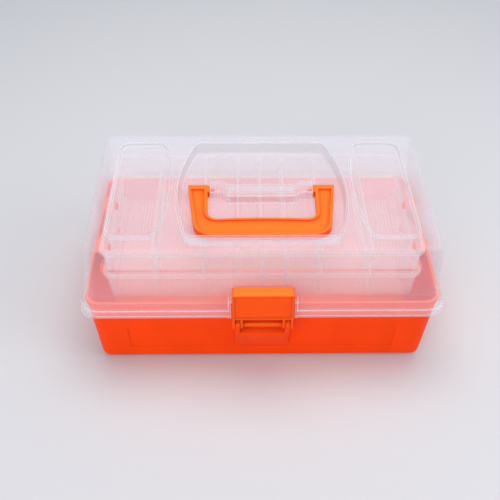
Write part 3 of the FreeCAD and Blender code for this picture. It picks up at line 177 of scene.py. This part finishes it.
def add_flow_marks(material, middle, strength):
    """Faint streaks of lighter colour that wander up from the gate under the tub."""
    tree = material.node_tree
    surface, shader = tree.nodes["Surface"], tree.nodes["Principled BSDF"]
    place = tree.nodes.new("ShaderNodeTexCoord").outputs["Object"]
    stretch = tree.nodes.new("ShaderNodeMapping")
    stretch.inputs["Location"].default_value = middle
    stretch.inputs["Scale"].default_value = streak_scale
    streaks = tree.nodes.new("ShaderNodeTexNoise")
    streaks.inputs["Scale"].default_value = 1.0
    streaks.inputs["Detail"].default_value = 5
    streaks.inputs["Distortion"].default_value = 1.4
    ramp = tree.nodes.new("ShaderNodeMapRange")
    ramp.inputs["From Min"].default_value = streak_low
    ramp.inputs["From Max"].default_value = streak_high
    ramp.inputs["To Min"].default_value = 1 - strength
    ramp.inputs["To Max"].default_value = 1 + strength
    tinted = tree.nodes.new("ShaderNodeVectorMath")
    tinted.operation = "SCALE"
    tree.links.new(place, stretch.inputs["Vector"])
    tree.links.new(stretch.outputs["Vector"], streaks.inputs["Vector"])
    tree.links.new(streaks.outputs["Fac"], ramp.inputs["Value"])
    tree.links.new(surface.outputs["Colour"], tinted.inputs[0])
    tree.links.new(ramp.outputs["Result"], tinted.inputs["Scale"])
    tree.links.new(tinted.outputs[0], shader.inputs["Base Color"])


# Height of a face's normal where the painted top light begins, and where it is full.
top_light_begins, top_light_full = 0.35, 0.95


def top_light_and_crease_shade_group():
    """A shader group: faces that look up are painted lighter as top light, and creases are painted darker
    as shade.
    """
    tree = bpy.data.node_groups.new("Painted Top Light And Crease Shade", "ShaderNodeTree")
    for name, kind in (("Colour", "Color"), ("Top Lit Colour", "Color"), ("Fade", "Float"),
                       ("Crease Shade Colour", "Color"), ("Crease Reach", "Float"), ("Crease Shade Share", "Float")):
        tree.interface.new_socket(name, in_out="INPUT", socket_type="NodeSocket" + kind)
    tree.interface.new_socket("Colour", in_out="OUTPUT", socket_type="NodeSocketColor")
    new, link = tree.nodes.new, tree.links.new
    take, give = new("NodeGroupInput"), new("NodeGroupOutput")

    def blend(factor, share, first, second):
        amount = new("ShaderNodeMath")
        amount.operation = "MULTIPLY"
        amount.use_clamp = True
        link(factor, amount.inputs[0])
        link(take.outputs[share], amount.inputs[1])
        mix = new("ShaderNodeMix")
        mix.data_type = "RGBA"
        link(amount.outputs[0], mix.inputs["Factor"])
        link(first, mix.inputs["A"])
        link(take.outputs[second], mix.inputs["B"])
        return mix.outputs["Result"]

    facing = new("ShaderNodeSeparateXYZ")
    link(new("ShaderNodeTexCoord").outputs["Normal"], facing.inputs[0])
    upward = new("ShaderNodeMapRange")
    upward.inputs["From Min"].default_value = top_light_begins
    upward.inputs["From Max"].default_value = top_light_full
    link(facing.outputs["Z"], upward.inputs["Value"])
    top_lit = blend(upward.outputs["Result"], "Fade", take.outputs["Colour"], "Top Lit Colour")
    # Creases darkened by ambient occlusion: painted shade.
    open_sky = new("ShaderNodeAmbientOcclusion")
    open_sky.samples = 4
    open_sky.only_local = True
    link(take.outputs["Crease Reach"], open_sky.inputs["Distance"])
    shut_in = new("ShaderNodeMath")
    shut_in.operation = "SUBTRACT"
    shut_in.inputs[0].default_value = 1
    link(open_sky.outputs["AO"], shut_in.inputs[1])
    link(blend(shut_in.outputs[0], "Crease Shade Share", top_lit, "Crease Shade Colour"), give.inputs["Colour"])
    return tree


top_light_and_crease_shade_tree = top_light_and_crease_shade_group()


def paint_top_light_and_crease_shade(material, top_lit=(0.98, 0.20, 0.022), top_light=0.9, crease_shade=(0.72, 0.018, 0.001), reach=0.004,
            crease_shade_share=1.3):
    """Put the painted top light and the painted crease shade over whatever colour the material has so far.
    """
    tree = material.node_tree
    base = tree.nodes["Principled BSDF"].inputs["Base Color"]
    before = base.links[0].from_socket
    lit_and_shaded = tree.nodes.new("ShaderNodeGroup")
    lit_and_shaded.node_tree = top_light_and_crease_shade_tree
    for socket, value in (("Top Lit Colour", (*top_lit, 1)), ("Fade", top_light), ("Crease Shade Colour", (*crease_shade, 1)),
                          ("Crease Reach", reach), ("Crease Shade Share", crease_shade_share)):
        lit_and_shaded.inputs[socket].default_value = value
    tree.links.new(before, lit_and_shaded.inputs["Colour"])
    tree.links.new(lit_and_shaded.outputs["Colour"], base)


tub_plastic = plastic("Tub Orange", (0.98, 0.058, 0.002), (1.0, 0.18, 0.03), cloud=0.07, gloss=0.36,
                      Specular_IOR_Level=0.05)
add_flow_marks(tub_plastic, (0, 0, 0.3), 0.045)
# Upward faces painted lighter as top light, and creases painted darker as shade.
paint_top_light_and_crease_shade(tub_plastic, top_light=0.55, crease_shade_share=0.6)
finish_node("base_tub", tub_plastic)

# --- Lid -------------------------------------------------------------------
# One thin moulding of natural polypropylene, frosted by a fine etched tool.
# It scatters light, so it is milky where it is seen edge on and at its edges; the near-white colour along
# its edges is a painted highlight.


# How quickly the milkiness grows towards edge on, and the light that a shell takes from its shadow.
frost_falloff = 2.6
shadow_relief = 0.7


def add_frost(material, face_on, edge_on, edge_gain):
    """Let light through the shell: least where it is seen edge on and along its edges.

    The plastic scatters the light that it stops, so its shadow is fainter than its own face.
    """
    tree = material.node_tree
    surface, shader = tree.nodes["Surface"], tree.nodes["Principled BSDF"]
    weight = tree.nodes.new("ShaderNodeLayerWeight")
    weight.inputs["Blend"].default_value = 0.5
    steep = tree.nodes.new("ShaderNodeMath")
    steep.operation = "POWER"
    steep.inputs[1].default_value = frost_falloff
    spread = tree.nodes.new("ShaderNodeMath")
    spread.operation = "MULTIPLY_ADD"
    spread.inputs[1].default_value = edge_on - face_on
    spread.inputs[2].default_value = face_on
    lines = tree.nodes.new("ShaderNodeMath")
    lines.operation = "MULTIPLY_ADD"
    lines.inputs[1].default_value = edge_gain
    lines.use_clamp = True
    tree.links.new(weight.outputs["Facing"], steep.inputs[0])
    tree.links.new(steep.outputs[0], spread.inputs[0])
    tree.links.new(surface.outputs["Edge Mask"], lines.inputs[0])
    tree.links.new(spread.outputs[0], lines.inputs[2])
    shade = tree.nodes.new("ShaderNodeMath")
    shade.operation = "MULTIPLY_ADD"
    shade.inputs[1].default_value = -shadow_relief
    shade.inputs[2].default_value = 1
    held = tree.nodes.new("ShaderNodeMath")
    held.operation = "MULTIPLY"
    path = tree.nodes.new("ShaderNodeLightPath")
    tree.links.new(path.outputs["Is Shadow Ray"], shade.inputs[0])
    tree.links.new(lines.outputs[0], held.inputs[0])
    tree.links.new(shade.outputs[0], held.inputs[1])
    tree.links.new(held.outputs[0], shader.inputs["Alpha"])


# The near-white edge colour is a painted highlight along the lid's rounded edges.
lid_plastic = plastic("Frosted Lid", (0.76, 0.76, 0.82), (0.97, 0.96, 0.97), edge_share=0.9, cloud=0.06,
                      gloss=0.3, gloss_change=0.1, scuff=0.1, grain=0.2, edge_width=0.0012)
add_frost(lid_plastic, 0.15, 0.62, 0.9)
finish_node("lid", lid_plastic)

# --- Handle ------------------------------------------------------------------
# A fold-flat orange bail with raised edges, moulded in the tub's plastic and
# snapped over the bridge in the lid. Its edges are painted paler, partly as
# rubbed by hands and partly as a painted highlight. Its upward faces are
# painted lighter as top light, and its creases darker as painted shade.
grip_plastic = plastic("Grip Orange", (0.98, 0.085, 0.006), (1.0, 0.36, 0.08), edge_share=0.6, cloud=0.06,
                       gloss=0.3, gloss_change=0.14, scuff=0.16, Specular_IOR_Level=0.08)
paint_top_light_and_crease_shade(grip_plastic)
finish_node("handle", grip_plastic)

# --- Latch -------------------------------------------------------------------
# The orange cap over the lid's cut-out, with a raised border on its face. It
# turns on a bar moulded with it, held in the tub's two lugs.
latch_plastic = plastic("Latch Orange", (0.97, 0.085, 0.004), (1.0, 0.27, 0.05), edge_share=0.6,
                        cloud=0.06, gloss=0.33, gloss_change=0.14, scuff=0.2, Specular_IOR_Level=0.08)
# Upward faces painted lighter as top light, and creases painted darker as shade.
paint_top_light_and_crease_shade(latch_plastic, top_light=1)
finish_node("latch", latch_plastic)

# --- Trays -------------------------------------------------------------------
# Two trays and their loose dividers, thin natural polypropylene that passes
# some of the light it catches on to its far side; that light is a faint pink
# glow painted on as emission, and their edges are painted paler as a highlight.
# The floors carry fine ribs that keep small tackle from sticking to them.
# The emission is a painted glow that stands in for light scattered through the thin plastic.
tray_plastic = plastic("Tray Natural", (0.80, 0.69, 0.70), (0.97, 0.94, 0.93), edge_share=0.8, cloud=0.05,
                       gloss=0.4, gloss_change=0.1, scuff=0.08, grain=0.2, edge_width=0.0006,
                       Emission_Color=(1.0, 0.84, 0.84, 1), Emission_Strength=0.08)
add_frost(tray_plastic, 0.13, 0.55, 0.35)
for tier in ("upper", "lower"):
    finish_node(f"{tier}_tray", tray_plastic)
    for hand in ("left", "centre", "right"):
        finish_node(f"{tier}_divider_{hand}", tray_plastic)


def floor_rib_group():
    """Geometry nodes: one cell's row of fine parallel ribs, rounded on top."""
    tree = bpy.data.node_groups.new("Floor Ribs", "GeometryNodeTree")
    for name in ("Cell Width", "Pitch", "Rib Length", "Rib Width", "Rib Height"):
        tree.interface.new_socket(name, in_out="INPUT", socket_type="NodeSocketFloat")
    tree.interface.new_socket("Material", in_out="INPUT", socket_type="NodeSocketMaterial")
    tree.interface.new_socket("Geometry", in_out="OUTPUT", socket_type="NodeSocketGeometry")
    new, link = tree.nodes.new, tree.links.new
    take, give = new("NodeGroupInput"), new("NodeGroupOutput")

    def maths(kind, *values):
        node = new("ShaderNodeMath")
        node.operation = kind
        for socket, value in zip(node.inputs, values):
            if isinstance(value, (int, float)):
                socket.default_value = value
            else:
                link(value, socket)
        return node.outputs[0]

    steps = maths("FLOOR", maths("DIVIDE", take.outputs["Cell Width"], take.outputs["Pitch"]))
    count = maths("ADD", steps, 1)
    start = maths("MULTIPLY", maths("MULTIPLY", steps, take.outputs["Pitch"]), -0.5)
    row = new("GeometryNodeMeshLine")
    row.mode = "OFFSET"
    link(count, row.inputs["Count"])
    first, offset = new("ShaderNodeCombineXYZ"), new("ShaderNodeCombineXYZ")
    link(start, first.inputs["X"])
    link(take.outputs["Pitch"], offset.inputs["X"])
    link(first.outputs[0], row.inputs["Start Location"])
    link(offset.outputs[0], row.inputs["Offset"])
    rod = new("GeometryNodeMeshCylinder")
    rod.inputs["Vertices"].default_value = 10
    rod.inputs["Radius"].default_value = 0.5
    rod.inputs["Depth"].default_value = 1
    shape = new("GeometryNodeTransform")
    size = new("ShaderNodeCombineXYZ")
    link(take.outputs["Rib Width"], size.inputs["X"])
    link(maths("MULTIPLY", take.outputs["Rib Height"], 2), size.inputs["Y"])
    link(take.outputs["Rib Length"], size.inputs["Z"])
    link(rod.outputs["Mesh"], shape.inputs["Geometry"])
    link(size.outputs[0], shape.inputs["Scale"])
    shape.inputs["Rotation"].default_value = (math.pi / 2, 0, 0)
    place = new("GeometryNodeInstanceOnPoints")
    link(row.outputs["Mesh"], place.inputs["Points"])
    link(shape.outputs["Geometry"], place.inputs["Instance"])
    real = new("GeometryNodeRealizeInstances")
    paint = new("GeometryNodeSetMaterial")
    link(place.outputs["Instances"], real.inputs["Geometry"])
    link(real.outputs["Geometry"], paint.inputs["Geometry"])
    link(take.outputs["Material"], paint.inputs["Material"])
    link(paint.outputs["Geometry"], give.inputs["Geometry"])
    return tree


rib_pitch, rib_width, rib_height = 0.003, 0.0009, 0.0004


def floor_ribs(name, tree, cells, front, back, height, material):
    """Ribs for every cell of one tray, joined into one piece."""
    vertices, faces = [], []
    for left, right in cells:
        source = bpy.data.objects.new(name + "_cell", bpy.data.meshes.new(name + "_cell"))
        bpy.context.scene.collection.objects.link(source)
        modifier = source.modifiers.new("ribs", "NODES")
        modifier.node_group = tree
        wanted = {"Cell Width": right - left, "Pitch": rib_pitch, "Rib Length": back - front,
                  "Rib Width": rib_width, "Rib Height": rib_height, "Material": material}
        for item in tree.interface.items_tree:
            if item.in_out == "INPUT":
                modifier[item.identifier] = wanted[item.name]
        bpy.context.view_layer.update()
        made = bpy.data.meshes.new_from_object(source.evaluated_get(bpy.context.evaluated_depsgraph_get()))
        shift = Vector(((left + right) / 2, (front + back) / 2, height))
        base = len(vertices)
        vertices += [vertex.co + shift for vertex in made.vertices]
        faces += [[base + index for index in face.vertices] for face in made.polygons]
        bpy.data.objects.remove(source)
    mesh = bpy.data.meshes.new(name)
    mesh.from_pydata(vertices, [], faces)
    mesh.materials.append(material)
    piece = bpy.data.objects.new(name, mesh)
    bpy.context.scene.collection.objects.link(piece)
    return piece


rib_plastic = plastic("Tray Ribs", (0.88, 0.80, 0.80), (0.97, 0.94, 0.93), edge_share=0.8, cloud=0.05,
                      gloss=0.4, gloss_change=0.1, scuff=0.08, grain=0.2, edge_width=0.0002)
add_frost(rib_plastic, 0.13, 0.32, 0.06)
rib_tree = floor_rib_group()
tray_floor = 0.0015
rib_front, rib_back = -0.0575, 0.065
cells = ((-0.1345, -0.0995), (-0.0965, -0.055), (-0.052, -0.0265), (-0.0175, -0.0045),
         (0.0045, 0.0175), (0.0265, 0.052), (0.055, 0.0965), (0.0995, 0.1345))
for tier in ("upper", "lower"):
    floor_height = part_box(f"{tier}_tray")[0][2] + tray_floor
    ribs = floor_ribs(f"{tier}_tray_floor_ribs", rib_tree, cells, rib_front, rib_back, floor_height,
                      rib_plastic)
    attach(ribs, f"{tier}_tray")

# --- Arms ----------------------------------------------------------------------
# Flat orange links with their studs moulded on, duller than the grip parts
# because the tray rims rub along them.
arm_plastic = plastic("Arm Orange", (0.96, 0.08, 0.006), (1.0, 0.22, 0.05), edge_share=0.5, cloud=0.08,
                      gloss=0.42, gloss_change=0.16, scuff=0.2, Specular_IOR_Level=0.15)
for arm in ("long_arm", "short_front_arm", "short_rear_arm"):
    for hand in ("left", "right"):
        finish_node(f"{arm}_{hand}", arm_plastic)

# --- Hinge pins ----------------------------------------------------------------
# Drawn steel rods pressed into the tub's knuckles, with fine draw lines.
steel = plastic("Drawn Steel", (0.55, 0.55, 0.57), (0.7, 0.7, 0.72), edge_share=0.4, cloud=0.08, gloss=0.28,
                gloss_change=0.12, scuff=0.2, grain=0.1, edge_width=0.0003, Metallic=1.0)
for hand in ("left", "right"):
    finish_node(f"hinge_pin_{hand}", steel)

# --- Floor, light and camera -----------------------------------------------------
floor_size = 6
floor_data = bpy.data.meshes.new("floor")
corners = [(x * floor_size, y * floor_size, 0) for x, y in ((-1, -1), (1, -1), (1, 1), (-1, 1))]
floor_data.from_pydata(corners, [], [(0, 1, 2, 3)])
floor = bpy.data.objects.new("floor", floor_data)
bpy.context.scene.collection.objects.link(floor)
floor_paint = bpy.data.materials.new("Pale Floor")
floor_paint.use_nodes = True
floor_shader = floor_paint.node_tree.nodes["Principled BSDF"]
floor_shader.inputs["Base Color"].default_value = (0.62, 0.62, 0.63, 1)
floor_shader.inputs["Roughness"].default_value = 0.8
floor_data.materials.append(floor_paint)

world = bpy.data.worlds.new("studio")
bpy.context.scene.world = world
world.use_nodes = True
background = world.node_tree.nodes["Background"]
background.inputs["Color"].default_value = (0.86, 0.90, 1.0, 1)
background.inputs["Strength"].default_value = 0.55


def softbox(name, place, target, size, power):
    data = bpy.data.lights.new(name, "AREA")
    data.shape = "RECTANGLE"
    data.size, data.size_y = size
    data.energy = power
    lamp = bpy.data.objects.new(name, data)
    bpy.context.scene.collection.objects.link(lamp)
    lamp.location = place
    lamp.rotation_euler = (Vector(target) - Vector(place)).to_track_quat("-Z", "Y").to_euler()


softbox("top_softbox", (0.05, 0.25, 1.3), (0, 0, 0.1), (1.1, 0.8), 10)
softbox("front_fill", (-0.5, -1.4, 0.7), (0, 0, 0.08), (1.0, 0.8), 7)
softbox("right_fill", (1.1, -0.5, 0.8), (0, 0, 0.08), (0.8, 0.6), 5)
softbox("side_spark", (-1.0, -0.75, 0.2), (-0.1, -0.05, 0.1), (0.12, 0.12), 2)

# The camera stands in front of the box and looks down at it.
camera_place = Vector((-0.0213, -0.54526, 0.57038))
camera_pitch = math.radians(43)
camera_yaw = math.radians(1.179)
camera_roll = math.radians(0.565)
focal_share = 746.081 / 500
camera_data = bpy.data.cameras.new("camera")
camera_data.sensor_width = 36
camera_data.lens = focal_share * camera_data.sensor_width
camera = bpy.data.objects.new("camera", camera_data)
bpy.context.scene.collection.objects.link(camera)
camera.matrix_world = (Matrix.Translation(camera_place) @ Matrix.Rotation(-camera_yaw, 4, "Z")
                       @ Matrix.Rotation(math.pi / 2 - camera_pitch, 4, "X")
                       @ Matrix.Rotation(camera_roll, 4, "Z"))
bpy.context.scene.camera = camera
bpy.context.scene.view_settings.view_transform = "Standard"
# A view line crosses up to two dozen faces of the clear shells.
bpy.context.scene.cycles.transparent_max_bounces = 32
